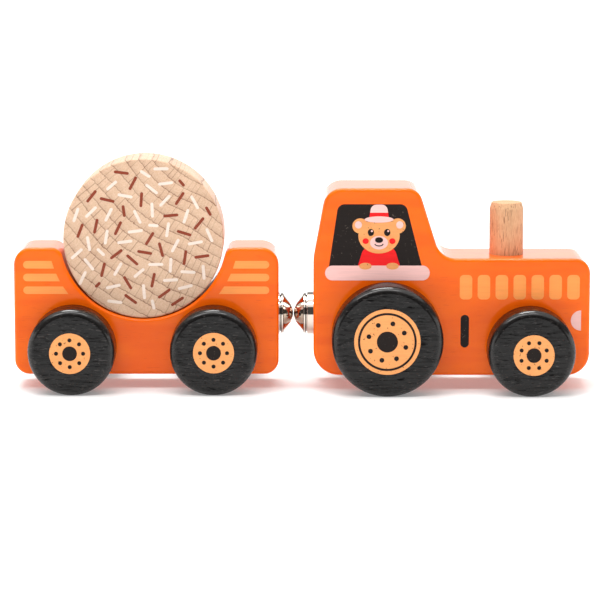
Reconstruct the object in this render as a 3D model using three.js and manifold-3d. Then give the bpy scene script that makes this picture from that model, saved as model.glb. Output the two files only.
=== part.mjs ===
// Wooden push-along toy: a block tractor that pulls a two-axle trailer with a round block as its load.
//
// Frame: millimetres, +Z up, +X the way the tractor drives, left is +Y. The origin is on the ground,
// under the middle of the whole train's box, so that the wheels stand on Z = 0.
//
// The tractor and the trailer are each one sawn block with rounded edges. Every axle is a dowel that
// turns in a bore through its block, with a turned wheel glued on each end. The two blocks meet at a
// magnetic hitch: a steel cup screwed into each block, closed by a domed nose that holds a ball magnet.
// The tractor's ball is the centre that the trailer swings about, since the noses slide on each other.

import * as THREE from 'three';
import { mergeVertices } from 'three/addons/utils/BufferGeometryUtils.js';
import Module from 'manifold-3d';

const wasm = await Module();
wasm.setup();

// ---------- Driving dimensions ----------

const TRAIN_LENGTH = 212.6;       // trailer's tail to tractor's nose
const TRACTOR_THICKNESS = 30;     // of the tractor's block, across the train
const TRAILER_THICKNESS = 24;     // of the trailer's block
const LOAD_THICKNESS = 22;
const EDGE_ROUND = 1.2;           // sanded round on the edges of both blocks
const RUNNING_GAP = 0.3;          // between a piece that turns or lifts and its seat
const GLUE_GAP = 0.2;             // between two pieces that are glued or screwed together

const NOSE_X = TRAIN_LENGTH / 2;  // front of the tractor's bonnet
const TAIL_X = -TRAIN_LENGTH / 2; // rear of the trailer
const TRACTOR_REAR_X = 4.3;
const TRAILER_FRONT_X = -8.5;

// Tractor's outline
const TRACTOR_BOTTOM_Z = 5.6;
const BONNET_Z = 49.1;
const ROOF_Z = 75.1;
const ROOF_REAR_X = 9.0;          // where the line of the cab's rear wall meets the roof line
const ROOF_FRONT_X = 42.9;        // where the line of the windscreen pillar meets the roof line
const PILLAR_FOOT_X = 51.1;       // where the pillar's line meets the bonnet line
const CAB_WAIST_Z = 49.4;         // the rear wall leans forward above this height

// Trailer's outline
const TRAILER_BOTTOM_Z = 5.5;
const TRAILER_TOP_Z = 52.8;
const CRADLE_X = -58.4;
const CRADLE_Z = 57.0;
const CRADLE_RADIUS = 30.8;
const CRADLE_LIP_ROUND = 4.6;     // round on the two top corners of the cradle

// Wheels and axles
const BIG_WHEEL_RADIUS = 20.4;
const SMALL_WHEEL_RADIUS = 16;
const WHEEL_WIDTH = 14;
const WHEEL_OUTER_ROUND = 2;
const WHEEL_INNER_CHAMFER = 1;
const WHEEL_TO_BLOCK = 1.5;       // side clearance between a wheel and its block
const WHEEL_BORE_DEPTH = 9;
const AXLE_RADIUS = 3;
const TRACTOR_REAR_AXLE_X = 31.4;
const TRACTOR_FRONT_AXLE_X = 84.1;
const TRAILER_WHEELBASE = 52.1;

// Exhaust peg
const PEG_X = 76.1;
const PEG_RADIUS = 6.25;
const PEG_TOP_Z = 68.5;
const PEG_DEPTH = 12;             // of its glued end in the bonnet
const PEG_TAPER = 0.9;            // the peg's top edge is worn in by this
const PEG_TAPER_HEIGHT = 1.8;     // over this height

// Load
const LOAD_RADIUS = 29.6;
const LOAD_EDGE_ROUND = 0.6;

// Hitch, measured out along its axis from the centre of the ball magnet
const HITCH_Z = 26.7;
const CONTACT_X = -3.1;           // where the two noses meet
const NOSE_TIP_RADIUS = 7;        // the nose's tip is a sphere about the ball's centre
const NOSE_FLANK_ANGLE = Math.PI * 35 / 180; // off the axis, where the sphere runs out into a cone
const NOSE_RIM_RADIUS = 7.5;
const NOSE_RIM_WIDTH = 0.8;
const NOSE_SPIGOT_RADIUS = 6.9;   // the part of the nose that plugs into the cup
const NOSE_SPIGOT_END = -1.5;
const BALL_RADIUS = 5.5;
const CUP_RADIUS = 7.9;
const CUP_WALL = 0.8;
const CUP_FLOOR = -10.5;          // outer face of the cup's floor
const CUP_FLOOR_THICKNESS = 1;
const SCREW_HEAD_RADIUS = 3.2;
const SCREW_HEAD_HEIGHT = 1.8;
const SCREW_SHANK_RADIUS = 1.5;
const SCREW_LENGTH = 9;           // under its head
const SCREW_POINT = 2;

// Facets
const WHEEL_SIDES = 36;
const LOAD_SIDES = 60;
const SMALL_SIDES = 24;
const ARC_STEP = Math.PI / 16;    // of the fillets in the blocks' outlines
const CRADLE_STEPS = 32;

// ---------- Materials ----------

function finish(colour, roughness, metalness = 0) {
  return new THREE.MeshStandardMaterial({ color: colour, roughness, metalness });
}

const orangePaint = finish(0xf26a28, 0.35);
const blackPaint = finish(0x2b2a29, 0.4);
const bareBeech = finish(0xe0bc98, 0.7);
const nickel = finish(0xd9d4cf, 0.15, 1);
const magnetPlating = finish(0xb9b9bc, 0.3, 1);
const zincSteel = finish(0xa8a9ab, 0.4, 1);

// ---------- Geometry helpers ----------

// A turned piece: its profile of [radius, height] points is spun about +Y.
function turned(profile, sides) {
  return new THREE.LatheGeometry(profile.map(([r, y]) => new THREE.Vector2(r, y)), sides);
}

// Points on an arc of the profile plane, from one angle to the other, both ends included.
function arc(centreX, centreY, radius, from, to, steps) {
  return Array.from({ length: steps + 1 }, (_, i) => {
    const angle = from + ((to - from) * i) / steps;
    return [centreX + radius * Math.cos(angle), centreY + radius * Math.sin(angle)];
  });
}

// An outline's corner [x, z], rounded to the given radius: the points of its fillet.
function fillet(before, corner, after, radius) {
  const p = new THREE.Vector2(...corner);
  const toBefore = new THREE.Vector2(...before).sub(p).normalize();
  const toAfter = new THREE.Vector2(...after).sub(p).normalize();
  const half = Math.acos(toBefore.dot(toAfter)) / 2;
  const centre = toBefore.clone().add(toAfter).normalize().multiplyScalar(radius / Math.sin(half)).add(p);
  const start = toBefore.multiplyScalar(radius / Math.tan(half)).add(p).sub(centre).angle();
  const end = toAfter.multiplyScalar(radius / Math.tan(half)).add(p).sub(centre).angle();
  let sweep = end - start;
  if (sweep > Math.PI) sweep -= 2 * Math.PI;
  if (sweep < -Math.PI) sweep += 2 * Math.PI;
  const steps = Math.max(2, Math.ceil(Math.abs(sweep) / ARC_STEP));
  return arc(centre.x, centre.y, radius, start, start + sweep, steps);
}

// A closed outline of [x, z, radius] corners, each rounded to its radius. A plain [x, z] point stays.
function outline(corners) {
  return corners.flatMap((corner, i) => {
    const [x, z, radius] = corner;
    const before = corners[(i + corners.length - 1) % corners.length];
    const after = corners[(i + 1) % corners.length];
    if (!radius) return [[x, z]];
    return fillet([before[0], before[1]], [x, z], [after[0], after[1]], radius);
  });
}

// A block sawn to an outline in the XZ plane, centred on Y = 0, with its edges rounded.
function block(points, thickness) {
  const shape = new THREE.Shape(points.map(([x, z]) => new THREE.Vector2(x, z)));
  const geometry = new THREE.ExtrudeGeometry(shape, {
    depth: thickness - 2 * EDGE_ROUND,
    bevelThickness: EDGE_ROUND,
    bevelSize: EDGE_ROUND,
    bevelOffset: -EDGE_ROUND,
    bevelSegments: 2,
  });
  return geometry.translate(0, 0, -(thickness - 2 * EDGE_ROUND) / 2).rotateX(Math.PI / 2);
}

function solid(geometry) {
  const bare = geometry.clone();
  bare.deleteAttribute('normal');
  bare.deleteAttribute('uv');
  const merged = mergeVertices(bare, 1e-3);
  return new wasm.Manifold(new wasm.Mesh({
    numProp: 3,
    vertProperties: merged.getAttribute('position').array,
    triVerts: new Uint32Array(merged.index.array),
  }));
}

// The geometry with every tool cut out of it.
function cut(geometry, tools) {
  const { numProp, vertProperties, triVerts } =
    tools.reduce((rest, tool) => rest.subtract(solid(tool)), solid(geometry)).getMesh();
  const made = new THREE.BufferGeometry();
  made.setAttribute('position', new THREE.BufferAttribute(new Float32Array(vertProperties), numProp));
  made.setIndex(new THREE.BufferAttribute(new Uint32Array(triVerts), 1));
  made.computeVertexNormals();
  return made;
}

// A drill along +Y, +Z or +X, as long as asked, about the origin's axis.
function drill(axis, radius, from, to) {
  const tool = new THREE.CylinderGeometry(radius, radius, to - from, SMALL_SIDES);
  tool.translate(0, (from + to) / 2, 0);
  if (axis === 'z') tool.rotateX(Math.PI / 2);
  if (axis === 'x') tool.rotateZ(-Math.PI / 2);
  return tool;
}

function piece(name, geometry, material, position = [0, 0, 0]) {
  const mesh = new THREE.Mesh(geometry, material);
  mesh.name = name;
  mesh.position.set(...position);
  return mesh;
}

// ---------- Wheel sets ----------

function wheelGeometry(radius) {
  const bore = AXLE_RADIUS + GLUE_GAP;
  const rim = radius - WHEEL_OUTER_ROUND;
  return turned([
    [0, WHEEL_BORE_DEPTH],
    [bore, WHEEL_BORE_DEPTH],
    [bore, 0],
    [radius - WHEEL_INNER_CHAMFER, 0],
    [radius, WHEEL_INNER_CHAMFER],
    ...arc(rim, WHEEL_WIDTH - WHEEL_OUTER_ROUND, WHEEL_OUTER_ROUND, 0, Math.PI / 2, 3),
    [0, WHEEL_WIDTH],
  ], WHEEL_SIDES);
}

// A dowel with a wheel glued on each end, standing on the ground at x.
function wheelSet(name, x, radius, blockThickness) {
  const group = new THREE.Group();
  group.position.set(x, 0, radius);
  const innerFace = blockThickness / 2 + WHEEL_TO_BLOCK;
  const halfAxle = innerFace + WHEEL_BORE_DEPTH - GLUE_GAP;
  const dowel = new THREE.CylinderGeometry(AXLE_RADIUS, AXLE_RADIUS, 2 * halfAxle, SMALL_SIDES);
  group.add(piece(name + '_axle', dowel, bareBeech));
  for (const [side, sign] of [['left', 1], ['right', -1]]) {
    const wheel = piece(`${name}_wheel_${side}`, wheelGeometry(radius), blackPaint, [0, sign * innerFace, 0]);
    if (sign < 0) wheel.rotation.x = Math.PI;
    group.add(wheel);
  }
  return group;
}

// The bore that a wheel set's axle turns in.
function axleBore(x, radius, blockThickness) {
  return drill('y', AXLE_RADIUS + RUNNING_GAP, -blockThickness, blockThickness).translate(x, 0, radius);
}

// ---------- Magnetic hitch ----------

// All of these are turned about +Y, with the ball magnet's centre at the origin.
const FLANK_SLOPE = Math.tan(NOSE_FLANK_ANGLE);
const RIM_TOP = NOSE_TIP_RADIUS / Math.cos(NOSE_FLANK_ANGLE) - NOSE_RIM_RADIUS * FLANK_SLOPE;
const RIM_BASE = RIM_TOP - NOSE_RIM_WIDTH;
const CUP_MOUTH = RIM_BASE - GLUE_GAP;
const CUP_INNER_FLOOR = CUP_FLOOR + CUP_FLOOR_THICKNESS;

function noseGeometry() {
  const seat = BALL_RADIUS + RUNNING_GAP;
  return turned([
    ...arc(0, 0, seat, Math.PI / 2, 0, 6),
    [seat, NOSE_SPIGOT_END],
    [NOSE_SPIGOT_RADIUS, NOSE_SPIGOT_END],
    [NOSE_SPIGOT_RADIUS, RIM_BASE],
    [NOSE_RIM_RADIUS, RIM_BASE],
    [NOSE_RIM_RADIUS, RIM_TOP],
    ...arc(0, 0, NOSE_TIP_RADIUS, Math.PI / 2 - NOSE_FLANK_ANGLE, Math.PI / 2, 4),
  ], SMALL_SIDES);
}

function cupGeometry() {
  const inner = CUP_RADIUS - CUP_WALL;
  const hole = SCREW_SHANK_RADIUS + GLUE_GAP;
  return turned([
    [hole, CUP_FLOOR],
    [CUP_RADIUS, CUP_FLOOR],
    [CUP_RADIUS, CUP_MOUTH],
    [inner, CUP_MOUTH],
    [inner, CUP_INNER_FLOOR],
    [hole, CUP_INNER_FLOOR],
    [hole, CUP_FLOOR],
  ], SMALL_SIDES);
}

function screwGeometry() {
  const seat = CUP_INNER_FLOOR + GLUE_GAP;
  const end = seat - SCREW_LENGTH;
  return turned([
    [0, end],
    [SCREW_SHANK_RADIUS, end + SCREW_POINT],
    [SCREW_SHANK_RADIUS, seat],
    [SCREW_HEAD_RADIUS, seat],
    [SCREW_HEAD_RADIUS, seat + SCREW_HEAD_HEIGHT / 2],
    [SCREW_HEAD_RADIUS / 2, seat + SCREW_HEAD_HEIGHT],
    [0, seat + SCREW_HEAD_HEIGHT],
  ], SMALL_SIDES);
}

// The hitch's ball centre, for the block that lies behind it: direction is +1 where the nose points to +X.
function ballCentreX(direction) {
  return CONTACT_X - direction * (NOSE_TIP_RADIUS + RUNNING_GAP / 2);
}

function hitch(name, direction) {
  const group = new THREE.Group();
  group.position.set(ballCentreX(direction), 0, HITCH_Z);
  group.rotation.z = -direction * Math.PI / 2;
  group.add(piece(name + '_hitch_nose', noseGeometry(), nickel));
  group.add(piece(name + '_hitch_cup', cupGeometry(), nickel));
  const ball = new THREE.SphereGeometry(BALL_RADIUS, SMALL_SIDES, SMALL_SIDES / 2);
  group.add(piece(name + '_hitch_magnet', ball, magnetPlating));
  group.add(piece(name + '_hitch_screw', screwGeometry(), zincSteel));
  return group;
}

// The recess for the cup, and the pilot hole for its screw.
function hitchRecess(direction) {
  const ball = ballCentreX(direction);
  const pilotEnd = CUP_INNER_FLOOR - SCREW_LENGTH - GLUE_GAP;
  const bores = [
    drill('x', CUP_RADIUS + GLUE_GAP, CUP_FLOOR - GLUE_GAP, NOSE_TIP_RADIUS),
    drill('x', SCREW_SHANK_RADIUS + GLUE_GAP, pilotEnd, 0),
  ];
  return bores.map((bore) => bore.rotateZ(direction > 0 ? 0 : Math.PI).translate(ball, 0, HITCH_Z));
}

// ---------- Tractor ----------

function tractor() {
  const group = new THREE.Group();
  const profile = outline([
    [TRACTOR_REAR_X, TRACTOR_BOTTOM_Z, 9.5],
    [NOSE_X, TRACTOR_BOTTOM_Z, 8.2],
    [NOSE_X, BONNET_Z, 5.7],
    [PILLAR_FOOT_X, BONNET_Z, 7.6],
    [ROOF_FRONT_X, ROOF_Z, 6],
    [ROOF_REAR_X, ROOF_Z, 7.2],
    [TRACTOR_REAR_X, CAB_WAIST_Z, 20],
  ]);
  const pegHole = drill('z', PEG_RADIUS + GLUE_GAP, BONNET_Z - PEG_DEPTH, ROOF_Z).translate(PEG_X, 0, 0);
  group.add(piece('tractor_body', cut(block(profile, TRACTOR_THICKNESS), [
    axleBore(TRACTOR_REAR_AXLE_X, BIG_WHEEL_RADIUS, TRACTOR_THICKNESS),
    axleBore(TRACTOR_FRONT_AXLE_X, SMALL_WHEEL_RADIUS, TRACTOR_THICKNESS),
    pegHole,
    ...hitchRecess(-1),
  ]), orangePaint));

  const pegFoot = BONNET_Z - PEG_DEPTH + GLUE_GAP;
  const peg = turned([
    [0, pegFoot],
    [PEG_RADIUS, pegFoot],
    [PEG_RADIUS, PEG_TOP_Z - PEG_TAPER_HEIGHT],
    [PEG_RADIUS - PEG_TAPER / 3, PEG_TOP_Z - PEG_TAPER_HEIGHT / 3],
    [PEG_RADIUS - PEG_TAPER, PEG_TOP_Z],
    [0, PEG_TOP_Z],
  ], SMALL_SIDES).rotateX(Math.PI / 2);
  group.add(piece('exhaust_peg', peg, bareBeech, [PEG_X, 0, 0]));

  group.add(wheelSet('tractor_rear', TRACTOR_REAR_AXLE_X, BIG_WHEEL_RADIUS, TRACTOR_THICKNESS));
  group.add(wheelSet('tractor_front', TRACTOR_FRONT_AXLE_X, SMALL_WHEEL_RADIUS, TRACTOR_THICKNESS));
  group.add(hitch('tractor', -1));
  return group;
}

// ---------- Trailer ----------

// The cradle's arc, from the front lip down and up to the rear lip, with both lips rounded.
function cradleOutline() {
  const lip = CRADLE_LIP_ROUND;
  const lipCentreZ = TRAILER_TOP_Z - lip;
  const reach = CRADLE_RADIUS + lip;
  const below = Math.asin((CRADLE_Z - lipCentreZ) / reach);
  const lipCentre = reach * Math.cos(below);
  return [
    ...arc(CRADLE_X + lipCentre, lipCentreZ, lip, Math.PI / 2, Math.PI - below, 6),
    ...arc(CRADLE_X, CRADLE_Z, CRADLE_RADIUS, -below, below - Math.PI, CRADLE_STEPS).slice(1, -1),
    ...arc(CRADLE_X - lipCentre, lipCentreZ, lip, below, Math.PI / 2, 6),
  ];
}

function trailer() {
  const group = new THREE.Group();
  const profile = outline([
    [TAIL_X, TRAILER_BOTTOM_Z, 5.4],
    [TRAILER_FRONT_X, TRAILER_BOTTOM_Z, 5.4],
    [TRAILER_FRONT_X, TRAILER_TOP_Z, 6.5],
    ...cradleOutline(),
    [TAIL_X, TRAILER_TOP_Z, 6.5],
  ]);
  const frontAxleX = CRADLE_X + TRAILER_WHEELBASE / 2;
  const rearAxleX = CRADLE_X - TRAILER_WHEELBASE / 2;
  group.add(piece('trailer_body', cut(block(profile, TRAILER_THICKNESS), [
    axleBore(frontAxleX, SMALL_WHEEL_RADIUS, TRAILER_THICKNESS),
    axleBore(rearAxleX, SMALL_WHEEL_RADIUS, TRAILER_THICKNESS),
    ...hitchRecess(1),
  ]), orangePaint));

  const half = LOAD_THICKNESS / 2;
  const edge = LOAD_EDGE_ROUND;
  const load = turned([
    [0, -half],
    ...arc(LOAD_RADIUS - edge, edge - half, edge, -Math.PI / 2, 0, 2),
    ...arc(LOAD_RADIUS - edge, half - edge, edge, 0, Math.PI / 2, 2),
    [0, half],
  ], LOAD_SIDES);
  const loadZ = CRADLE_Z - (CRADLE_RADIUS - LOAD_RADIUS - RUNNING_GAP);
  group.add(piece('load_disc', load, bareBeech, [CRADLE_X, 0, loadZ]));

  group.add(wheelSet('trailer_front', frontAxleX, SMALL_WHEEL_RADIUS, TRAILER_THICKNESS));
  group.add(wheelSet('trailer_rear', rearAxleX, SMALL_WHEEL_RADIUS, TRAILER_THICKNESS));
  group.add(hitch('trailer', 1));
  return group;
}

const toy = new THREE.Group();
toy.add(tractor(), trailer());

export default toy;
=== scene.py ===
"""A wooden push-along toy: a block tractor that pulls a trailer with a round block as its load.

Metres, +Z up, +X the way the tractor drives. Each section makes one piece, or a group of like pieces,
in the order in which the toy is put together. Sizes inside a section are in millimetres.
"""

import math
import random

import bmesh
import bpy
from mathutils import Matrix, Vector


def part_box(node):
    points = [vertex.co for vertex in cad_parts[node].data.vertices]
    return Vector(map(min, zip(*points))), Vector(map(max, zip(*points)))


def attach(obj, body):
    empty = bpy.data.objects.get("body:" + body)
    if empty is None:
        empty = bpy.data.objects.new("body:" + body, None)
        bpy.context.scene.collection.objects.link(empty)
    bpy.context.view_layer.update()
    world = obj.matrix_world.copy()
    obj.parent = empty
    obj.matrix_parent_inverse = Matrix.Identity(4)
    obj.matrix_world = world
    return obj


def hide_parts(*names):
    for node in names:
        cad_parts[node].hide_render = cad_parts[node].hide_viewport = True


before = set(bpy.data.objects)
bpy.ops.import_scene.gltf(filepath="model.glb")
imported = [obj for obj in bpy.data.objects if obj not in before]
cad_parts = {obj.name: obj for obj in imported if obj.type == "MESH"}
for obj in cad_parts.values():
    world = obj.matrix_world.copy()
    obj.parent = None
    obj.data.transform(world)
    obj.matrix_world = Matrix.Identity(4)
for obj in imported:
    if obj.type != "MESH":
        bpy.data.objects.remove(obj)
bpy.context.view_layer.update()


# ---------------------------------------------------------------------------------------------------
# The tractor's block. One piece of beech, 30 mm thick, sawn to the side view of a tractor and its cab.
# Its edges are sanded round, then it is bored for the axles, the peg and the hitch, and sprayed
# with an orange gloss that lets a little of the grain show.
# ---------------------------------------------------------------------------------------------------

MM = 0.001


class Wire:
    """A value in a finish's node tree. Sums written with wires add the tree's Math nodes."""

    def __init__(self, tree, socket=None):
        self.tree = tree
        self.socket = socket

    def node(self, kind, inputs, settings=(), output=0):
        """Adds a node: its settings are set first, then its sockets get their values or wires."""
        made = self.tree.nodes.new("ShaderNode" + kind)
        for name, value in dict(settings).items():
            setattr(made, name, value)
        for name, value in inputs.items():
            self.feed(made.inputs[name], value)
        return Wire(self.tree, made.outputs[output])

    def feed(self, socket, value):
        """Gives a socket its value, or joins a wire to it."""
        if isinstance(value, Wire):
            self.tree.links.new(value.socket, socket)
        else:
            socket.default_value = value

    def also(self, output):
        """Another output of the node that this wire comes from."""
        return Wire(self.tree, self.socket.node.outputs[output])

    def math(self, operation, *values):
        return self.node("Math", dict(enumerate(values)), {"operation": operation})

    def __add__(self, other):
        return self.math("ADD", self, other)

    __radd__ = __add__

    def __mul__(self, other):
        return self.math("MULTIPLY", self, other)

    __rmul__ = __mul__

    def __sub__(self, other):
        return self.math("SUBTRACT", self, other)

    def __rsub__(self, other):
        return self.math("SUBTRACT", other, self)

    def __truediv__(self, other):
        return self.math("DIVIDE", self, other)


def colour(red, green, blue):
    """A colour given as it looks, from 0 to 255, as the linear numbers that a shader takes."""
    linear = [((c / 255 + 0.055) / 1.055) ** 2.4 if c > 10 else c / 255 / 12.92
              for c in (red, green, blue)]
    return (*linear, 1.0)


def finish(name, look):
    """A new finish with its shader's plain numbers. Also gives the shader's sockets and a bare wire."""
    material = bpy.data.materials.new(name)
    material.use_nodes = True
    shader = material.node_tree.nodes["Principled BSDF"].inputs
    for socket, value in look.items():
        shader[socket].default_value = value
    return material, shader, Wire(material.node_tree)


def stretched(wire, per_mm, offset=(0, 0, 0)):
    """The place on a piece, counted in cells: per_mm says how many cells there are in a millimetre."""
    place = wire.node("TexCoord", {}, output="Object")
    scale = [cells / MM for cells in per_mm]
    return wire.node("Mapping", {"Vector": place, "Scale": scale, "Location": offset})


def cloud(wire, per_mm, detail=2.0, offset=(0, 0, 0)):
    """A smooth random value from 0 to 1, with cells of the given shape."""
    place = stretched(wire, per_mm, offset)
    return wire.node("TexNoise", {"Vector": place, "Scale": 1.0, "Detail": detail})


def step(value, low, high):
    """0 below low and 1 above high, with a soft rise between them."""
    limits = {"Value": value, "From Min": low, "From Max": high}
    return value.node("MapRange", limits, {"interpolation_type": "SMOOTHSTEP"})


def blend(factor, first, second):
    """The first colour where the factor is 0, and the second where it is 1."""
    return factor.node("Mix", {0: factor, 6: first, 7: second}, {"data_type": "RGBA"}, output=2)


def bump(height, depth_mm, strength):
    """A finish's relief: height 1 stands depth_mm above height 0."""
    return height.node("Bump", {"Height": height, "Distance": depth_mm * MM, "Strength": strength})


ARC_STEPS_PER_RADIAN = 7


def rounded(corners):
    """The outline through corners (x, z, radius), with each corner turned into an arc of its radius."""
    points = []
    for i, (x, z, radius) in enumerate(corners):
        corner = Vector((x, z))
        if not radius:
            points.append(corner)
            continue
        to_last = (Vector(corners[i - 1][:2]) - corner).normalized()
        to_next = (Vector(corners[(i + 1) % len(corners)][:2]) - corner).normalized()
        half = to_last.angle(to_next) / 2
        centre = corner + (to_last + to_next).normalized() * radius / math.sin(half)
        start = corner + to_last * radius / math.tan(half) - centre
        end = corner + to_next * radius / math.tan(half) - centre
        steps = max(3, round(start.angle(end) * ARC_STEPS_PER_RADIAN))
        points += [centre + start.slerp(end, k / steps).normalized() * radius for k in range(steps + 1)]
    return points


def new_piece(name, mesh, material):
    """A mesh placed in the scene, with its finish."""
    piece = bpy.data.objects.new(name, mesh)
    bpy.context.scene.collection.objects.link(piece)
    mesh.materials.append(material)
    return piece


def applied(piece):
    """The piece with its whole stack worked into its mesh."""
    graph = bpy.context.evaluated_depsgraph_get()
    finished = bpy.data.meshes.new_from_object(piece.evaluated_get(graph))
    piece.modifiers.clear()
    piece.data = finished
    return piece


SANDED_ANGLE = math.radians(45)


def sawn(name, outline, thickness, edge, material):
    """A flat outline in mm, given its thickness about Y = 0 and a sanded edge."""
    mesh = bpy.data.meshes.new(name)
    mesh.from_pydata([(x * MM, 0, z * MM) for x, z in outline], [], [range(len(outline))])
    piece = new_piece(name, mesh, material)
    board = piece.modifiers.new("thickness", "SOLIDIFY")
    board.thickness = thickness * MM
    board.offset = 0
    sanding = piece.modifiers.new("sanding", "BEVEL")
    sanding.width = edge * MM
    sanding.segments = 5
    sanding.limit_method = "ANGLE"
    sanding.angle_limit = SANDED_ANGLE
    return piece


def placed(middle, towards):
    """The matrix that takes a piece made upright at the origin to its place in mm, turned along towards."""
    turn = Vector(towards).to_track_quat("Z", "Y").to_matrix().to_4x4()
    return Matrix.Translation(Vector(middle) * MM) @ turn


BORE_SIDES = 64
BORE_EDGE_ANGLE = math.radians(40)


def drilled(piece, bores):
    """The piece with its stack applied and round holes cut. A bore is (middle, direction, radius, length),
    with its middle, radius and length in mm."""
    drill = bmesh.new()
    for middle, direction, radius, length in bores:
        bmesh.ops.create_cone(drill, cap_ends=True, segments=BORE_SIDES, radius1=radius * MM,
                              radius2=radius * MM, depth=length * MM, matrix=placed(middle, direction))
    cutter = new_piece("drill", bpy.data.meshes.new("drill"), piece.data.materials[0])
    drill.to_mesh(cutter.data)
    drill.free()
    holes = piece.modifiers.new("holes", "BOOLEAN")
    holes.object = cutter
    applied(piece)
    bpy.data.objects.remove(cutter)
    piece.data.shade_smooth()
    piece.data.set_sharp_from_angle(angle=BORE_EDGE_ANGLE)
    piece.modifiers.new("flat_faces", "WEIGHTED_NORMAL").keep_sharp = True
    return piece


def box_of(node):
    """The lowest and highest corners of a node's box, in mm."""
    return [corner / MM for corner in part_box(node)]


def centre_of(node):
    """The middle of a node's box, in mm."""
    low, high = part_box(node)
    return (low + high) / 2 / MM


# The broad figure of the wood, its fibres and its open pores show a little through the paint.
orange_paint, paint_shader, paint = finish("orange_paint", {
    "Coat Weight": 1.0, "Coat Roughness": 0.05, "Coat IOR": 1.27, "Specular IOR Level": 0.05})
figure = cloud(paint, (0.025, 0.16, 0.16), detail=3.0)
fibres = cloud(paint, (0.22, 3.0, 3.0), detail=2.0)
pores = step(cloud(paint, (0.22, 2.4, 2.4), offset=(7, 3, 1)), 0.62, 0.72)
ORANGE = colour(249, 104, 3)
ORANGE_SHADE = colour(243, 95, 4)
painted = blend(step(figure, 0.4, 0.7), ORANGE, ORANGE_SHADE)
painted = blend(pores * 0.5, painted, colour(222, 78, 8))
paint.feed(paint_shader["Base Color"], painted)
paint.feed(paint_shader["Roughness"], 0.34 + 0.14 * fibres)
paint.feed(paint_shader["Normal"], bump(fibres * 0.6 - pores, 0.04, 0.5))

tractor_low, tractor_high = box_of("tractor_body")
TRACTOR_THICKNESS = tractor_high.y - tractor_low.y
TRACTOR_EDGE = 1.2
BONNET_Z = 49.1
ROOF_REAR_X = 9.0
ROOF_FRONT_X = 42.9
PILLAR_FOOT_X = 51.1
CAB_WAIST_Z = 49.4
# Corners (x, z, radius), from the foot of the rear end round to the cab's waist.
tractor_outline = rounded([
    (tractor_low.x, tractor_low.z, 9.5),
    (tractor_high.x, tractor_low.z, 8.2),
    (tractor_high.x, BONNET_Z, 5.7),
    (PILLAR_FOOT_X, BONNET_Z, 7.6),
    (ROOF_FRONT_X, tractor_high.z, 6.0),
    (ROOF_REAR_X, tractor_high.z, 7.2),
    (tractor_low.x, CAB_WAIST_Z, 20.0)])
tractor_block = sawn("tractor_block", tractor_outline, TRACTOR_THICKNESS, TRACTOR_EDGE, orange_paint)

AXLE_BORE = 3.3
PEG_BORE = 6.35
CUP_BORE = 8.0
DRILL_LENGTH = 40
peg_low, peg_high = box_of("exhaust_peg")
peg = centre_of("exhaust_peg")
hitch = centre_of("tractor_hitch_cup")
cup_floor = box_of("tractor_hitch_cup")[1].x
drilled(tractor_block, [
    (centre_of("tractor_rear_axle"), (0, 1, 0), AXLE_BORE, 2 * TRACTOR_THICKNESS),
    (centre_of("tractor_front_axle"), (0, 1, 0), AXLE_BORE, 2 * TRACTOR_THICKNESS),
    ((peg.x, 0, peg_low.z + DRILL_LENGTH / 2), (0, 0, 1), PEG_BORE, DRILL_LENGTH),
    ((cup_floor - DRILL_LENGTH / 2, 0, hitch.z), (1, 0, 0), CUP_BORE, DRILL_LENGTH)])
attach(tractor_block, "tractor")
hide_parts("tractor_body")


# ---------------------------------------------------------------------------------------------------
# The tractor's prints. Screen-printed inks on both sides of the block: the cab's window and its sill, a
# row of engine vents, a slot, a headlamp, and a bear cub in a hat and a jumper, who drives.
# ---------------------------------------------------------------------------------------------------

INK_THICKNESS = 0.04
WELD = 0.001


def ink(name, tint, specks=0.0, speck_colour=(0, 0, 0, 1)):
    """A printed ink, a little uneven where the grain lies under it, with specks of the ground left bare."""
    material, shader, wire = finish(name, {"Coat Weight": 0.3, "Coat Roughness": 0.15, "Coat IOR": 1.27,
                                          "Specular IOR Level": 0.05})
    uneven = cloud(wire, (0.12, 1.5, 1.5), detail=2.0)
    bare = step(cloud(wire, (1.3, 1.3, 1.3), detail=2.0), 0.675, 0.71) * specks
    darker = (*(0.86 * c for c in tint[:3]), 1.0)
    shade = blend(step(uneven, 0.3, 0.75) * 0.6, tint, darker)
    wire.feed(shader["Base Color"], blend(bare, shade, speck_colour))
    wire.feed(shader["Roughness"], 0.4 + 0.15 * uneven)
    wire.feed(shader["Normal"], bump(uneven, 0.02, 0.5))
    return material


def arc(x, z, across, up, start, end, steps):
    """Points along an arc of two radii about (x, z), from one angle to another."""
    angles = [start + (end - start) * k / steps for k in range(steps + 1)]
    return [Vector((x + across * math.cos(a), z + up * math.sin(a))) for a in angles]


def ellipse(x, z, across, up, steps=40):
    """A closed round outline of two radii."""
    return arc(x, z, across, up, 0, 2 * math.pi, steps)[:-1]


def bar(x_low, x_high, z_low, z_high, radius):
    """An upright rectangle with its corners rounded."""
    return rounded([(x_low, z_low, radius), (x_high, z_low, radius), (x_high, z_high, radius),
                    (x_low, z_high, radius)])


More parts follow.
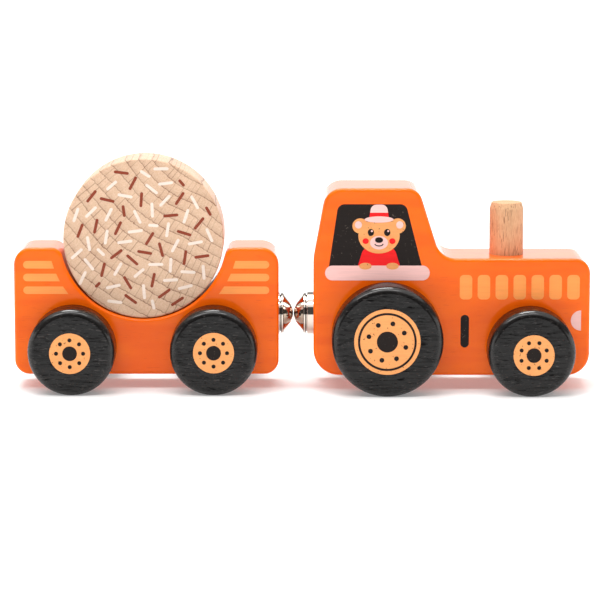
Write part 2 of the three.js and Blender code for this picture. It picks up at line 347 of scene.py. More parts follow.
def printed(name, shapes, face, layer, material, body):
    """Flat shapes of ink on both faces of a piece, which lie face mm from its middle. A print with a
    higher layer lies over the others."""
    mesh = bpy.data.meshes.new(name)
    points = [point for shape in shapes for point in shape]
    starts = [sum(len(s) for s in shapes[:i]) for i in range(len(shapes))]
    faces = [[start + k for k in range(len(shape))] for start, shape in zip(starts, shapes)]
    depth = -(face + layer * INK_THICKNESS) * MM
    mesh.from_pydata([(x * MM, depth, z * MM) for x, z in points], [], faces)
    joined = bmesh.new()
    joined.from_mesh(mesh)
    bmesh.ops.remove_doubles(joined, verts=joined.verts, dist=WELD * MM)
    joined.to_mesh(mesh)
    joined.free()
    for polygon in mesh.polygons:
        if polygon.normal.y > 0:
            polygon.flip()
    piece = new_piece(name, mesh, material)
    film = piece.modifiers.new("film", "SOLIDIFY")
    film.thickness = INK_THICKNESS * MM
    film.offset = -1
    other_side = piece.modifiers.new("other_side", "MIRROR")
    other_side.use_axis = (False, True, False)
    other_side.use_mirror_merge = False
    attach(piece, body)
    return piece


BLACK = colour(33, 27, 25)
black_ink = ink("black_ink", BLACK, specks=0.9, speck_colour=colour(84, 74, 66))
light_orange_ink = ink("light_orange_ink", colour(255, 158, 84))
peach_ink = ink("peach_ink", colour(240, 162, 100), specks=0.8, speck_colour=BLACK)
pale_pink_ink = ink("pale_pink_ink", colour(250, 199, 193))
red_ink = ink("red_ink", colour(240, 34, 36))
SIDE = TRACTOR_THICKNESS / 2

WINDOW_CORNERS = [(10.0, 46.3, 0), (44.2, 46.3, 0), (38.3, 69.3, 2.7), (13.4, 69.3, 2.7)]
SILL = bar(8.6, 47.1, 41.1, 46.6, 2.74)
BLACK_SLOT = bar(58.6, 61.7, 16.1, 28.25, 1.54)
printed("cab_window", [rounded(WINDOW_CORNERS)], SIDE, 1, black_ink, "tractor")
printed("side_slot", [BLACK_SLOT], SIDE, 1, black_ink, "tractor")
printed("window_sill", [SILL], SIDE, 3, pale_pink_ink, "tractor")

LAMP_X = 103.0
LAMP_Z = 26.15
LAMP_RADIUS = 3.75
lamp = arc(LAMP_X, LAMP_Z, LAMP_RADIUS, LAMP_RADIUS, math.pi / 2, 1.5 * math.pi, steps=24)
printed("headlamp", [lamp], SIDE, 1, pale_pink_ink, "tractor")

VENTS = 7
VENT_PITCH = 6.6
VENT_WIDTH = 4.6
VENT_START_X = 58.2
VENT_FOOT_Z = 34.0
VENT_TOP_Z = 43.1
VENT_ROUND = 1.5
vent_starts = [VENT_START_X + VENT_PITCH * k for k in range(VENTS)]
vents = [bar(x, x + VENT_WIDTH, VENT_FOOT_Z, VENT_TOP_Z, VENT_ROUND) for x in vent_starts]
printed("engine_vents", vents, SIDE, 1, light_orange_ink, "tractor")

# The bear cub. Its shapes are measured from the middle of its head.
CUB_X = 28.4
CUB_Z = 57.6


def cub_oval(right, up, half_width, half_height, steps=40):
    """An oval of the cub's, placed from the middle of its head."""
    return ellipse(CUB_X + right, CUB_Z + up, half_width, half_height, steps)


def cub_pair(right, up, half_width, half_height):
    """The same oval on both sides of the cub's middle."""
    return [cub_oval(side * right, up, half_width, half_height) for side in (-1, 1)]


def cub_shape(foot_half, foot, top_half, top, top_round):
    """A shape with a straight foot and a top that may be narrower and rounded, placed as the ovals are."""
    return rounded([(CUB_X - foot_half, CUB_Z + foot, 0), (CUB_X + foot_half, CUB_Z + foot, 0),
                    (CUB_X + top_half, CUB_Z + top, top_round), (CUB_X - top_half, CUB_Z + top, top_round)])


jumper = cub_shape(8.2, -12.6, 5.6, -4.0, 3.4)
printed("cub_jumper", [jumper], SIDE, 2, red_ink, "tractor")
printed("cub_ears", cub_pair(6.9, 3.7, 2.9, 2.8), SIDE, 2, peach_ink, "tractor")
printed("cub_head", [cub_oval(0, 0, 7.6, 6.5)], SIDE, 3, peach_ink, "tractor")
printed("cub_paws", cub_pair(5.0, -11.2, 2.3, 1.25), SIDE, 4, peach_ink, "tractor")

inner_ears = cub_pair(7.6, 4.1, 1.3, 1.35)
muzzle = cub_oval(0, -2.5, 3.3, 2.5)
hat_crown = cub_shape(3.6, 6.1, 2.9, 11.6, 2.3)
printed("cub_hat", [*inner_ears, muzzle, hat_crown], SIDE, 4, pale_pink_ink, "tractor")
hat_band = cub_shape(3.6, 6.4, 3.3, 8.6, 0)
cheeks = cub_pair(4.9, -1.9, 1.15, 1.05)
printed("cub_cheeks", [hat_band, *cheeks], SIDE, 5, red_ink, "tractor")
hat_brim = cub_oval(0, 6.1, 5.3, 1.15)
printed("cub_hat_brim", [hat_brim], SIDE, 6, pale_pink_ink, "tractor")

eyes = cub_pair(3.0, 1.3, 1.15, 1.3)
snout = cub_oval(0, -1.5, 1.5, 1.05)
SMILE_Z = CUB_Z - 2.9
upper_lip = arc(CUB_X, SMILE_Z, 1.3, 0.6, 2 * math.pi, math.pi, steps=12)
lower_lip = arc(CUB_X, SMILE_Z, 1.7, 1.0, math.pi, 2 * math.pi, steps=12)
printed("cub_eyes", [*eyes, snout, lower_lip + upper_lip], SIDE, 5, black_ink, "tractor")
glints = [cub_oval(side * 3.0 + 0.35, 1.8, 0.36, 0.36, steps=16) for side in (-1, 1)]
printed("cub_glints", glints, SIDE, 6, pale_pink_ink, "tractor")


# ---------------------------------------------------------------------------------------------------
# The exhaust. A plain beech dowel with its top edge worn in, glued upright into the bonnet. Its grain
# runs up the dowel, with the short dark flecks of beech, and its top shows end grain.
# ---------------------------------------------------------------------------------------------------

RAYS_PER_TURN = 52.0
RING_WAVER = 8.0
RING_JITTER = 0.9
RAY_JITTER = 0.12


def beech(name, look, along, pith, light, dark, ring_pitch, rings, rays, flecks):
    """Bare beech. The grain runs along one axis of the piece, and the tree's middle, the pith, is a point in
    mm off it. rings, rays and flecks say how strongly each is seen."""
    material, shader, wire = finish(name, look)
    upright = {"Y": (math.pi / 2, 0, 0), "Z": (0, 0, 0)}[along]
    from_pith = stretched(wire, (1, 1, 1), [-p for p in pith])
    grain = wire.node("Mapping", {"Vector": from_pith, "Rotation": upright})

    def uneven(across, along_grain, detail, roughness=0.5):
        """A random value from 0 to 1, in cells that may be long along the grain."""
        place = wire.node("Mapping", {"Vector": grain, "Scale": (across, across, along_grain)})
        return wire.node("TexNoise", {"Vector": place, "Scale": 1.0, "Detail": detail,
                                      "Roughness": roughness})

    jitter = uneven(0.9, 0.1, detail=1.5)
    sideways = wire.node("SeparateXYZ", {"Vector": grain})
    flat_place = wire.node("CombineXYZ", {"X": sideways, "Y": sideways.also("Y")})
    out = wire.node("VectorMath", {0: flat_place}, {"operation": "LENGTH"}, output="Value")
    turn = wire.math("ARCTAN2", sideways.also("Y"), sideways)

    # Growth rings: pale early wood that darkens to a thin late line, in rings that waver about the pith.
    waver = uneven(0.035, 0.035, detail=0.5)
    year = (out + (waver - 0.5) * RING_WAVER + (jitter - 0.5) * RING_JITTER) / ring_pitch
    late = wire.math("FRACT", year)
    patchy = uneven(0.11, 0.11, detail=1.0)
    ring_line = step(late, 0.89, 0.95) * (1 - step(late, 0.98, 1.0))
    ring = (step(late, 0.35, 0.93) * 0.22 + ring_line * 0.78) * (0.35 + 1.1 * patchy)

    # Rays: thin lines across each ring, which start anew, at other angles, in the next ring.
    year_number = wire.math("FLOOR", year)
    shift = wire.node("TexWhiteNoise", {"W": year_number}, {"noise_dimensions": "1D"})
    ray_turn = turn * RAYS_PER_TURN + shift + (jitter - 0.5) * RAY_JITTER
    ray_key = wire.node("CombineXYZ", {"X": wire.math("FLOOR", ray_turn), "Y": year_number})
    ray_depth = wire.node("TexWhiteNoise", {"Vector": ray_key}, {"noise_dimensions": "2D"})
    ray_off = wire.math("ABSOLUTE", wire.math("FRACT", ray_turn) - 0.5)
    ray = (1 - step(ray_off, 0.03, 0.09)) * ray_depth * ray_depth

    # Flecks and pores, long along the grain.
    fleck = step(uneven(2.5, 0.26, detail=2.0), 0.58, 0.68)
    pore = uneven(2.6, 0.4, detail=3.0, roughness=0.7)
    wood = blend(patchy * 0.5 + step(pore, 0.3, 0.7) * 0.6 - 0.05, light, dark)
    mark_colour = (0.42 * dark[0], 0.32 * dark[1], 0.27 * dark[2], 1.0)
    marks = wire.math("MINIMUM", ring * rings + ray * rays + fleck * flecks, 1.0)
    wire.feed(shader["Base Color"], blend(marks, wood, mark_colour))
    wire.feed(shader["Roughness"], 0.5 + 0.2 * pore)
    wire.feed(shader["Normal"], bump(pore * 0.5 - marks, 0.08, 0.45))
    return material


TURNED_EDGE_ANGLE = math.radians(50)


def turned(name, profile, middle, towards, material, steps=96):
    """A lathe-turned piece. The profile's corners (radius, height, round) in mm run from its top down, and
    its height is measured from middle, in mm, along the direction towards."""
    points = rounded(profile)
    mesh = bpy.data.meshes.new(name)
    pairs = [(k, k + 1) for k in range(len(points) - 1)]
    mesh.from_pydata([(r * MM, 0, h * MM) for r, h in points], pairs, [])
    piece = new_piece(name, mesh, material)
    lathe = piece.modifiers.new("lathe", "SCREW")
    lathe.steps = steps
    lathe.render_steps = steps
    lathe.use_merge_vertices = True
    lathe.merge_threshold = WELD * MM
    applied(piece)
    piece.data.transform(placed(middle, towards))
    piece.data.shade_smooth()
    piece.data.set_sharp_from_angle(angle=TURNED_EDGE_ANGLE)
    return piece


PEG_RADIUS = (peg_high.x - peg_low.x) / 2
PEG_LENGTH = peg_high.z - peg_low.z
PEG_WORN_IN = 0.7
PEG_WORN_DOWN = 2.4
peg_beech = beech("peg_beech", {"Specular IOR Level": 0.35}, "Z", pith=(peg.x - 9, 14, 0),
                  light=colour(219, 179, 139), dark=colour(194, 144, 104),
                  ring_pitch=3.2, rings=0.12, rays=0.0, flecks=0.75)
peg_piece = turned("exhaust_dowel", [
    (0, PEG_LENGTH, 0),
    (PEG_RADIUS - PEG_WORN_IN, PEG_LENGTH, 0.5),
    (PEG_RADIUS, PEG_LENGTH - PEG_WORN_DOWN, 1.5),
    (PEG_RADIUS, 0, 0),
    (0, 0, 0)], (peg.x, peg.y, peg_low.z), (0, 0, 1), peg_beech)
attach(peg_piece, "tractor")
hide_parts("exhaust_peg")


# ---------------------------------------------------------------------------------------------------
# The hitch. Each block has a nickel-plated steel cup let into its end and held by a screw through its
# floor. A domed nose plugs the cup, and a ball magnet behind the nose turns to find its partner.
# ---------------------------------------------------------------------------------------------------

CUP_RADIUS = 7.9
CUP_WALL = 0.8
CUP_FLOOR = 1.0
CUP_ROLL = 0.2
CUP_LIP_ROUND = 0.1
CUP_GROOVE = 0.25
SCREW_HOLE = 1.7
NOSE_RIM_RADIUS = 7.5
NOSE_RIM_WIDTH = 0.8
NOSE_RIM_FRONT_ROUND = 0.12
NOSE_RIM_BACK_ROUND = 0.08
NOSE_SPIGOT_RADIUS = 6.9
NOSE_WALL = 1.1
NOSE_TIP_RADIUS = 7.0
NOSE_FLANK = math.radians(35)
NOSE_REACH = 0.1
RIM_BEHIND_TIP = NOSE_TIP_RADIUS * (1 - 1 / math.cos(NOSE_FLANK)) + NOSE_RIM_RADIUS * math.tan(NOSE_FLANK)
SEAM_BEHIND_TIP = RIM_BEHIND_TIP + NOSE_RIM_WIDTH + CUP_GROOVE / 2
RIM_PAINTED_SHADE_WIDTH = 0.16
SEAM_PAINTED_SHADE_WIDTH = 0.34

nickel, nickel_shader, plating = finish("nickel", {"Metallic": 1.0, "Specular IOR Level": 0.6})
smears = cloud(plating, (0.25, 0.25, 0.25), detail=3.0)
polish = cloud(plating, (9.0, 0.6, 0.6), detail=1.0)
# Painted shade darkens the plating in front of each nose's rim and in its seam with the cup, at the same
# distance on both sides of the plane where the two noses touch.
contact_x = (box_of("trailer_hitch_nose")[1].x + box_of("tractor_hitch_nose")[0].x) / 2
along_hitch = plating.node("SeparateXYZ", {"Vector": stretched(plating, (1, 1, 1), (-contact_x, 0, 0))})
from_contact = plating.math("ABSOLUTE", along_hitch)
from_rim = plating.math("ABSOLUTE", from_contact - RIM_BEHIND_TIP)
from_seam = plating.math("ABSOLUTE", from_contact - SEAM_BEHIND_TIP)
rim_painted_shade = 1 - step(from_rim, RIM_PAINTED_SHADE_WIDTH / 2, RIM_PAINTED_SHADE_WIDTH)
seam_painted_shade = 1 - step(from_seam, SEAM_PAINTED_SHADE_WIDTH / 2, SEAM_PAINTED_SHADE_WIDTH)
plated = blend(smears, colour(214, 204, 194), colour(198, 186, 174))
# Painted shade: the plating is made near black just before each rim and in each seam.
plated = blend(0.7 * rim_painted_shade + 0.85 * seam_painted_shade, plated, colour(22, 18, 16))
plating.feed(nickel_shader["Base Color"], plated)
plating.feed(nickel_shader["Roughness"], 0.04 + 0.08 * step(smears, 0.4, 0.8))
plating.feed(nickel_shader["Normal"], bump(polish, 0.002, 0.2))


def plain(points):
    """Corners for an outline that are left as they are, with no rounding."""
    return [(x, z, 0) for x, z in points]


DOME_STEPS = 12
for end, direction in (("tractor", -1), ("trailer", 1)):
    cup_low, cup_high = box_of(end + "_hitch_cup")
    cup_length = cup_high.x - cup_low.x - CUP_GROOVE
    cup_back = cup_high.x if direction < 0 else cup_low.x
    cup_inner = CUP_RADIUS - CUP_WALL
    cup = turned(end + "_cup", [
        (cup_inner, CUP_FLOOR, 0),
        (cup_inner, cup_length, CUP_LIP_ROUND),
        (CUP_RADIUS, cup_length, CUP_ROLL),
        (CUP_RADIUS, 0, CUP_ROLL),
        (SCREW_HOLE, 0, 0),
        (SCREW_HOLE, CUP_FLOOR, 0),
        (cup_inner, CUP_FLOOR, 0)], (cup_back, 0, hitch.z), (direction, 0, 0), nickel)
    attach(cup, end)
    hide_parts(end + "_hitch_cup")

    nose_low, nose_high = box_of(end + "_hitch_nose")
    nose_back = nose_high.x if direction < 0 else nose_low.x
    tip = nose_high.x - nose_low.x
    rim_top = tip - RIM_BEHIND_TIP
    ball = tip - NOSE_TIP_RADIUS
    dome_radius = NOSE_TIP_RADIUS + NOSE_REACH
    dome_angles = [NOSE_FLANK * k / DOME_STEPS for k in range(DOME_STEPS + 1)]
    dome = [(dome_radius * math.sin(a), ball + dome_radius * math.cos(a), 0) for a in dome_angles]
    seat_radius = NOSE_SPIGOT_RADIUS - NOSE_WALL
    ball_seat = arc(0, ball, seat_radius, seat_radius, 0, math.pi / 2, DOME_STEPS)
    nose = turned(end + "_nose", [
        *dome,
        (NOSE_RIM_RADIUS, rim_top, NOSE_RIM_FRONT_ROUND),
        (NOSE_RIM_RADIUS, rim_top - NOSE_RIM_WIDTH, NOSE_RIM_BACK_ROUND),
        (NOSE_SPIGOT_RADIUS, rim_top - NOSE_RIM_WIDTH, 0),
        (NOSE_SPIGOT_RADIUS, 0, 0),
        (seat_radius, 0, 0),
        *plain(ball_seat)], (nose_back, 0, hitch.z), (direction, 0, 0), nickel)
    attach(nose, end)
    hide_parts(end + "_hitch_nose")

# The ball magnets and the screws keep the frame's own shapes, deep inside the blocks.
magnet_plating, magnet_shader, magnet_wire = finish("magnet_plating", {"Metallic": 1.0})
scuffs = cloud(magnet_wire, (0.8, 0.8, 0.8), detail=4.0)
magnet_wire.feed(magnet_shader["Base Color"], blend(scuffs, colour(205, 205, 210), colour(170, 170, 176)))
magnet_wire.feed(magnet_shader["Roughness"], 0.2 + 0.25 * scuffs)
zinc_steel, zinc_shader, zinc_wire = finish("zinc_steel", {"Metallic": 1.0})
spangle = cloud(zinc_wire, (1.5, 1.5, 1.5), detail=2.0)
zinc_wire.feed(zinc_shader["Base Color"], blend(spangle, colour(196, 197, 200), colour(160, 160, 158)))
zinc_wire.feed(zinc_shader["Roughness"], 0.3 + 0.2 * spangle)
for end in ("tractor", "trailer"):
    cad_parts[end + "_hitch_magnet"].material_slots[0].material = magnet_plating
    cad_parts[end + "_hitch_screw"].material_slots[0].material = zinc_steel


# ---------------------------------------------------------------------------------------------------
# Wheels and axles. A beech dowel turns in each bore, with a wheel turned from board glued on each end.
# The wheels are stained black, so that the grain shows, and their hubs are printed. Hands have rubbed
# the round of each wheel's outer edge, which is also painted paler along its middle as a painted highlight.
# ---------------------------------------------------------------------------------------------------

# The grain shows as broad bands, fine lines and open grooves. Scratches and nicks are wear. The rubbed
# rounds are glossier, and are painted paler along their middle as a painted highlight and sheen.
black_stain, stain_shader, stain = finish("black_stain", {
    "Coat Roughness": 0.12, "Coat IOR": 1.45, "Specular IOR Level": 0.02})
bands = cloud(stain, (0.05, 0.4, 0.7), detail=3.0)
lines = cloud(stain, (0.12, 0.8, 1.3), detail=3.0)
scratches = step(cloud(stain, (0.26, 1.5, 1.7), detail=2.0, offset=(9, 2, 4)), 0.60, 0.66)
nicks = step(cloud(stain, (0.5, 2.2, 2.2), detail=2.0, offset=(3, 8, 5)), 0.62, 0.70)
grooves = step(lines, 0.5, 0.60)
rubbed_and_sheen = stain.node("Attribute", {}, {"attribute_name": "rubbed_and_sheen"}, output="Fac")
stained = blend(step(bands, 0.35, 0.65), colour(6, 5, 5), colour(16, 14, 14))
# Painted highlight: the rounds are painted paler, most along their middle, where the highlight sits.
stained = blend(rubbed_and_sheen * 0.7, stained, colour(38, 36, 35))
stain.feed(stain_shader["Base Color"], blend(nicks * 0.5, stained, colour(78, 74, 72)))
stain.feed(stain_shader["Roughness"], 0.36 + 0.2 * bands)
stain.feed(stain_shader["Coat Weight"], 0.6 + 0.4 * rubbed_and_sheen - 0.2 * grooves - 0.38 * scratches)
open_grain = (lines - 0.5) * (1.35 + 1.9 * rubbed_and_sheen) - grooves * 0.2 - scratches * 0.6
stain.feed(stain_shader["Normal"], bump(open_grain, 0.3, 0.9))

axle_beech = beech("axle_beech", {"Specular IOR Level": 0.35}, "Y", pith=(40, 0, 5),
                   light=colour(232, 196, 158), dark=colour(214, 168, 128),
                   ring_pitch=3.0, rings=0.3, rays=0.1, flecks=0.5)

DOWEL_ROUND = 0.5
WHEEL_ROUND = 2.6
WHEEL_INNER_ROUND = 1.0
WHEEL_BORE = 3.2
WHEEL_BORE_DEPTH = 9.0
# The hubs' prints: a disc, its centre, dots on a circle with the first at some degrees, and on the big
# wheels a ring. Each print sits a little aside of its wheel's middle.
BIG_HUB = {"disc": 12.1, "centre": 3.85, "dot": 0.88, "dots_at": 7.0, "first": 28.6, "ring": (10.7, 9.9),
           "aside": (-0.2, 0.2)}
SMALL_HUB = {"disc": 7.5, "centre": 2.7, "dot": 0.75, "dots_at": 4.95, "first": 0.0, "ring": None,
             "aside": (0.1, 0.0)}
FRONT_HUB = {**SMALL_HUB, "first": 22.5, "aside": (0.6, -0.4)}
REAR_HUB = {**SMALL_HUB, "aside": (-0.4, -0.2)}
DOTS = 8


def disc(x, z, radius, steps):
    """A closed round outline."""
    return ellipse(x, z, radius, radius, steps)


def ring(x, z, outer, inner, steps=96):
    """A flat ring, as four-sided shapes that meet edge to edge."""
    outside = disc(x, z, outer, steps)
    inside = disc(x, z, inner, steps)
    return [[inside[k - 1], outside[k - 1], outside[k], inside[k]] for k in range(steps)]


HALFWAY_ROUND = math.radians(45)


def mark_rubbing_and_sheen(wheel, axis, radius, outer_face):
    """Marks the round of a wheel's outer edge as rubbed by hands and as painted highlight: most along its
    middle, where the highlight sits.
    """
    marks = wheel.data.attributes.new("rubbed_and_sheen", "FLOAT", "POINT")
    for vertex, mark in zip(wheel.data.vertices, marks.data):
        x, y, z = vertex.co / MM
        out = math.hypot(x - axis.x, z - axis.z) - radius + WHEEL_ROUND
        down = WHEEL_ROUND - abs(outer_face - y)
        if out > 0 and down > 0:
            mark.value = 1 - abs(math.atan2(out, down) / HALFWAY_ROUND - 1)


for axle, hub in (("tractor_rear", BIG_HUB), ("tractor_front", FRONT_HUB),
                  ("trailer_front", SMALL_HUB), ("trailer_rear", REAR_HUB)):
    body = axle + "_wheels"
    middle = centre_of(axle + "_axle")
    axle_low, axle_high = box_of(axle + "_axle")
    dowel_radius = (axle_high.z - axle_low.z) / 2
    dowel = turned(axle + "_dowel", [
        (0, axle_high.y, 0),
        (dowel_radius, axle_high.y, DOWEL_ROUND),
        (dowel_radius, axle_low.y, DOWEL_ROUND),
        (0, axle_low.y, 0)], (middle.x, 0, middle.z), (0, 1, 0), axle_beech, steps=48)
    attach(dowel, body)
    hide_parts(axle + "_axle")

    for side, outwards in (("left", 1), ("right", -1)):
        low, high = box_of(f"{axle}_wheel_{side}")
        radius = (high.x - low.x) / 2
        width = high.y - low.y
        inner_face, outer_face = (low.y, high.y) if outwards > 0 else (high.y, low.y)
        wheel = turned(f"{axle}_tyre_{side}", [
            (0, width, 0),
            (radius, width, WHEEL_ROUND),
            (radius, 0, WHEEL_INNER_ROUND),
            (WHEEL_BORE, 0, 0),
            (WHEEL_BORE, WHEEL_BORE_DEPTH, 0),
            (0, WHEEL_BORE_DEPTH, 0)], (middle.x, inner_face, middle.z), (0, outwards, 0),
            black_stain, steps=128)
        mark_rubbing_and_sheen(wheel, middle, radius, outer_face)
        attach(wheel, body)
        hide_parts(f"{axle}_wheel_{side}")

    hub_face = box_of(axle + "_wheel_left")[1].y
    hub_x = middle.x + hub["aside"][0]
    hub_z = middle.z + hub["aside"][1]
    printed(axle + "_hub", [disc(hub_x, hub_z, hub["disc"], steps=96)], hub_face, 1, peach_ink, body)
    dot_angles = [math.radians(hub["first"] + 360 * k / DOTS) for k in range(DOTS)]
    marks = [disc(hub_x + hub["dots_at"] * math.cos(a), hub_z + hub["dots_at"] * math.sin(a),
                  hub["dot"], steps=24) for a in dot_angles]
    marks.append(disc(hub_x, hub_z, hub["centre"], steps=64))
    if hub["ring"]:
        marks += ring(hub_x, hub_z, *hub["ring"])
    printed(axle + "_hub_marks", marks, hub_face, 2, black_ink, body)


# ---------------------------------------------------------------------------------------------------
# The trailer's block. A 24 mm board sawn with a round cradle in its top, sanded, bored for its axles and
# its hitch, and sprayed with the same orange. Three light bars of ink end along the cradle on each side.
# ---------------------------------------------------------------------------------------------------

trailer_low, trailer_high = box_of("trailer_body")
TRAILER_EDGE = 1.2
TRAILER_THICKNESS = trailer_high.y - trailer_low.y
load_centre = centre_of("load_disc")
CRADLE_RADIUS = 30.8
CRADLE_Z = 57.0
CRADLE_LIP = 4.6
CRADLE_STEPS = 64
LIP_STEPS = 12
lip_z = trailer_high.z - CRADLE_LIP
lip_drop = math.asin((CRADLE_Z - lip_z) / (CRADLE_RADIUS + CRADLE_LIP))
lip_reach = (CRADLE_RADIUS + CRADLE_LIP) * math.cos(lip_drop)
cradle_x = load_centre.x
front_lip = arc(cradle_x + lip_reach, lip_z, CRADLE_LIP, CRADLE_LIP,
                math.pi / 2, math.pi - lip_drop, LIP_STEPS)
cradle = arc(cradle_x, CRADLE_Z, CRADLE_RADIUS, CRADLE_RADIUS, -lip_drop, lip_drop - math.pi, CRADLE_STEPS)
rear_lip = arc(cradle_x - lip_reach, lip_z, CRADLE_LIP, CRADLE_LIP,
               lip_drop, math.pi / 2, LIP_STEPS)
# Corners (x, z, radius), from the foot of the rear end round by the cradle.
trailer_outline = rounded([
    (trailer_low.x, trailer_low.z, 5.4),
    (trailer_high.x, trailer_low.z, 5.4),
    (trailer_high.x, trailer_high.z, 6.5),
    *plain(front_lip + cradle[1:-1] + rear_lip),
    (trailer_low.x, trailer_high.z, 6.5)])
trailer_block = sawn("trailer_block", trailer_outline, TRAILER_THICKNESS, TRAILER_EDGE, orange_paint)
cup_floor = box_of("trailer_hitch_cup")[0].x
drilled(trailer_block, [
    (centre_of("trailer_front_axle"), (0, 1, 0), AXLE_BORE, 2 * TRAILER_THICKNESS),
    (centre_of("trailer_rear_axle"), (0, 1, 0), AXLE_BORE, 2 * TRAILER_THICKNESS),
    ((cup_floor + DRILL_LENGTH / 2, 0, hitch.z), (1, 0, 0), CUP_BORE, DRILL_LENGTH)])
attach(trailer_block, "trailer")
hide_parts("trailer_body")

# Each bar has a round outer end and is cut off slanting beside the cradle.
BAR_TOPS = (47.9, 43.15, 38.4)
BAR_HEIGHT = 2.8
BAR_ROUND = BAR_HEIGHT / 2 - 0.01
BAR_INSET = 3.5
BAR_TO_CRADLE = 4.3
bars = []
for top in BAR_TOPS:
    bottom = top - BAR_HEIGHT
    reach = [math.sqrt((CRADLE_RADIUS + BAR_TO_CRADLE) ** 2 - (CRADLE_Z - z) ** 2) for z in (bottom, top)]
    for outer_x, sign in ((trailer_low.x + BAR_INSET, -1), (trailer_high.x - BAR_INSET, 1)):
        bars.append(rounded([
            (outer_x, bottom, BAR_ROUND),
            (cradle_x + sign * reach[0], bottom, 0),
            (cradle_x + sign * reach[1], top, 0),
            (outer_x, top, BAR_ROUND)]))
printed("trailer_bars", bars, TRAILER_THICKNESS / 2, 1, light_orange_ink, "trailer")


# ---------------------------------------------------------------------------------------------------
# The load. A round slice of bare beech, cut across the tree so that its faces show the growth rings and
# the fine rays between them. Brown and white straws are printed on both faces. It lies loose.
# ---------------------------------------------------------------------------------------------------

load_low, load_high = box_of("load_disc")
LOAD_RADIUS = (load_high.z - load_low.z) / 2
LOAD_THICKNESS = load_high.y - load_low.y
LOAD_EDGE = 0.7
load_beech = beech("load_beech", {"Specular IOR Level": 0.3, "Coat Weight": 0.4, "Coat Roughness": 0.25,
                                  "Coat IOR": 1.4}, "Y",
                   pith=(load_centre.x + 68, 0, load_centre.z + 92),
                   light=colour(226, 196, 168), dark=colour(197, 158, 128),
                   ring_pitch=4.3, rings=0.8, rays=0.75, flecks=0.0)
load_piece = turned("load_slice", [
    (0, LOAD_THICKNESS / 2, 0),
    (LOAD_RADIUS, LOAD_THICKNESS / 2, LOAD_EDGE),
    (LOAD_RADIUS, -LOAD_THICKNESS / 2, LOAD_EDGE),
    (0, -LOAD_THICKNESS / 2, 0)], load_centre, (0, 1, 0), load_beech, steps=160)
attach(load_piece, "load")
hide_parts("load_disc")

# Straws start on a sunflower's spiral, and each takes the longest length that keeps clear of the others.
STRAWS = 68
STRAW_LENGTHS = (5.6, 5.0, 4.4, 3.8, 3.2, 2.6)
STRAW_TRIES = 8
STRAW_END_STEPS = 8
STRAW_WIDTH = 1.1
STRAW_FIELD = 27.0
STRAW_GAP = 1.9
BROWN_OF_SEVEN = (0, 2, 5)
GOLDEN_ANGLE = math.pi * (3 - math.sqrt(5))


def straw(middle, direction, length):
    """A short stroke with round ends."""
    half = Vector((math.cos(direction), math.sin(direction))) * (length - STRAW_WIDTH) / 2
    points = []
    for end, facing in ((middle + half, direction), (middle - half, direction + math.pi)):
        points += arc(end.x, end.y, STRAW_WIDTH / 2, STRAW_WIDTH / 2, facing - math.pi / 2,
                      facing + math.pi / 2, STRAW_END_STEPS)
    return points


def apart(stroke, others):
    """True if a stroke's points keep their distance from every other stroke's."""
    return all((p - q).length > STRAW_GAP for other in others for p in stroke for q in other)


draw = random.Random(7)
straws = []
for k in range(STRAWS):
    from_middle = STRAW_FIELD * math.sqrt((k + 0.5) / STRAWS)
    middle = Vector((load_centre.x + from_middle * math.cos(k * GOLDEN_ANGLE),
                     load_centre.z + from_middle * math.sin(k * GOLDEN_ANGLE)))
    for length in STRAW_LENGTHS:
        tries = [straw(middle, draw.uniform(0, math.pi), length) for _ in range(STRAW_TRIES)]
        free = [stroke for stroke in tries if apart(stroke, straws)]
        if free:
            straws.append(free[0])
            break
brown_straws = [stroke for k, stroke in enumerate(straws) if k % 7 in BROWN_OF_SEVEN]
white_straws = [stroke for k, stroke in enumerate(straws) if k % 7 not in BROWN_OF_SEVEN]
brown_ink = ink("brown_ink", colour(140, 66, 48))
white_ink = ink("white_ink", colour(236, 219, 206))
printed("brown_straws", brown_straws, LOAD_THICKNESS / 2, 1, brown_ink, "load")
printed("white_straws", white_straws, LOAD_THICKNESS / 2, 1, white_ink, "load")


# ---------------------------------------------------------------------------------------------------
# The studio. A plain pale floor in a white room, lit from its ceiling, by low windows to the left and
# right, and by a broad soft lamp and a strip overhead. The walls are dim otherwise.
# ---------------------------------------------------------------------------------------------------

FLOOR_HALF = 8.0
FLOOR_GLOW = 0.22
floor_corners = [(x * FLOOR_HALF, y * FLOOR_HALF, 0) for x, y in ((-1, -1), (1, -1), (1, 1), (-1, 1))]
floor_mesh = bpy.data.meshes.new("floor")
floor_mesh.from_pydata(floor_corners, [], [(0, 1, 2, 3)])
floor_white = finish("floor_white", {
    "Base Color": (0.74, 0.74, 0.74, 1.0), "Roughness": 0.7, "Specular IOR Level": 0.2,
    "Emission Color": (1.0, 1.0, 1.0, 1.0), "Emission Strength": FLOOR_GLOW})[0]
floor = new_piece("floor", floor_mesh, floor_white)

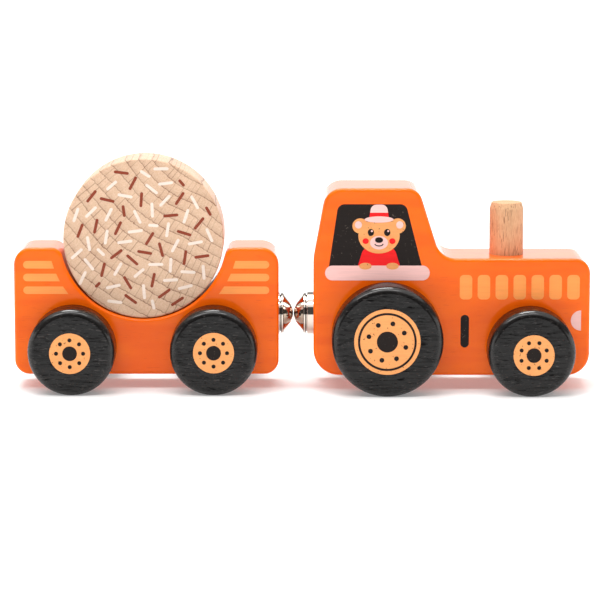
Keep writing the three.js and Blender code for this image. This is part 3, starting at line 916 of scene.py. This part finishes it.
CEILING = 1.55
SWEEP = 1.1
WINDOWS = 1.8
WALLS = 0.1
world = bpy.data.worlds.new("white_room")
bpy.context.scene.world = world
world.use_nodes = True
room = Wire(world.node_tree)
sky = room.node("SeparateXYZ", {"Vector": room.node("TexCoord", {}, output="Object")})
up = sky.also("Z")
away = sky.also("Y")
ceiling = step(up, 0.62, 0.72)
near_floor = 1 - step(up, 0.26, 0.36)
under_floor = 1 - step(up, -0.10, -0.03)
sweep = step(away, 0.84, 0.93)
windows = step(away, -0.80, -0.62) * (1 - step(away, 0.55, 0.66))
around = WALLS + near_floor * (sweep * SWEEP + windows * WINDOWS)
below_ceiling = around * (1 - under_floor) + SWEEP * under_floor
room_background = world.node_tree.nodes["Background"].inputs
room_background["Color"].default_value = (1.0, 0.985, 0.97, 1.0)
room.feed(room_background["Strength"], below_ceiling * (1 - ceiling) + CEILING * ceiling)


def in_studio(name, data, location, rotation):
    """A light or the camera, put in its place."""
    placed_object = bpy.data.objects.new(name, data)
    placed_object.location = location
    placed_object.rotation_euler = rotation
    bpy.context.scene.collection.objects.link(placed_object)
    return placed_object


softbox = bpy.data.lights.new("softbox", "SUN")
softbox.angle = math.radians(26)
softbox.energy = 2.3
in_studio("softbox", softbox, (0, 0, 0), (math.radians(-14), math.radians(-5), 0))

strip = bpy.data.lights.new("strip", "AREA")
strip.shape = "RECTANGLE"
strip.size = 0.9
strip.size_y = 0.16
strip.energy = 4.2
in_studio("strip", strip, (-0.15, -0.42, 0.85), (math.radians(26), math.radians(-8), 0))

CAMERA_AIM = Vector((-0.00064, -0.015, 0.0338))
CAMERA_DISTANCE = 1.178
CAMERA_ELEVATION = math.radians(8.4)
camera_data = bpy.data.cameras.new("camera")
camera_data.sensor_width = 36
camera_data.lens = 191.8
to_camera = Vector((0, -math.cos(CAMERA_ELEVATION), math.sin(CAMERA_ELEVATION)))
camera = in_studio("camera", camera_data, CAMERA_AIM + to_camera * CAMERA_DISTANCE,
                   (math.pi / 2 - CAMERA_ELEVATION, 0, 0))
bpy.context.scene.camera = camera
bpy.context.scene.view_settings.view_transform = "Standard"
